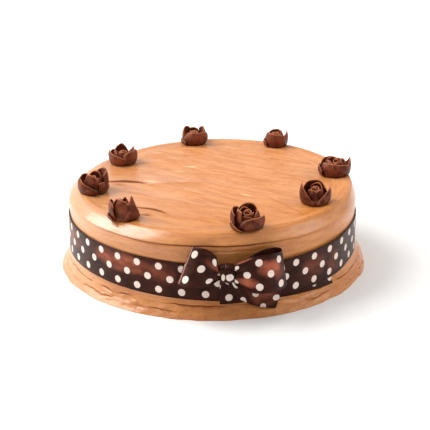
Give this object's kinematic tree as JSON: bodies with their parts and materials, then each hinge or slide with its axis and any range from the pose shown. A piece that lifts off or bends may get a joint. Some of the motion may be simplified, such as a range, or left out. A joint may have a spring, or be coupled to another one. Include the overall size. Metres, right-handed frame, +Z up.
{
  "type": "layer cake",
  "caption": "Round layer cake covered with palette-knifed chocolate buttercream, with chocolate roses round its top edge and a spotted satin ribbon tied in a bow round its side.",
  "frame": {"origin": "centre of the flat base, on the surface that the cake stands on", "axes": "+Z up, -Y towards the front, where the ribbon is tied in a bow, +X to the right of the bow seen from the front"},
  "size_m": [0.2242, 0.2328, 0.0771],
  "materials": {
    "buttercream": "satin milk chocolate buttercream spread with a palette knife",
    "chocolate": "softly shiny dark modelling chocolate",
    "satin_ribbon": "dark brown satin with rows of cream spots"
  },
  "bodies": {
    "root": {"cake": "buttercream", "rose_1": "chocolate", "rose_2": "chocolate", "rose_3": "chocolate", "rose_4": "chocolate", "rose_5": "chocolate", "rose_6": "chocolate", "rose_7": "chocolate", "rose_8": "chocolate", "ribbon_band": "satin_ribbon", "bow_loops": "satin_ribbon", "bow_knot": "satin_ribbon", "bow_tail": "satin_ribbon"}
  },
  "joints": []
}
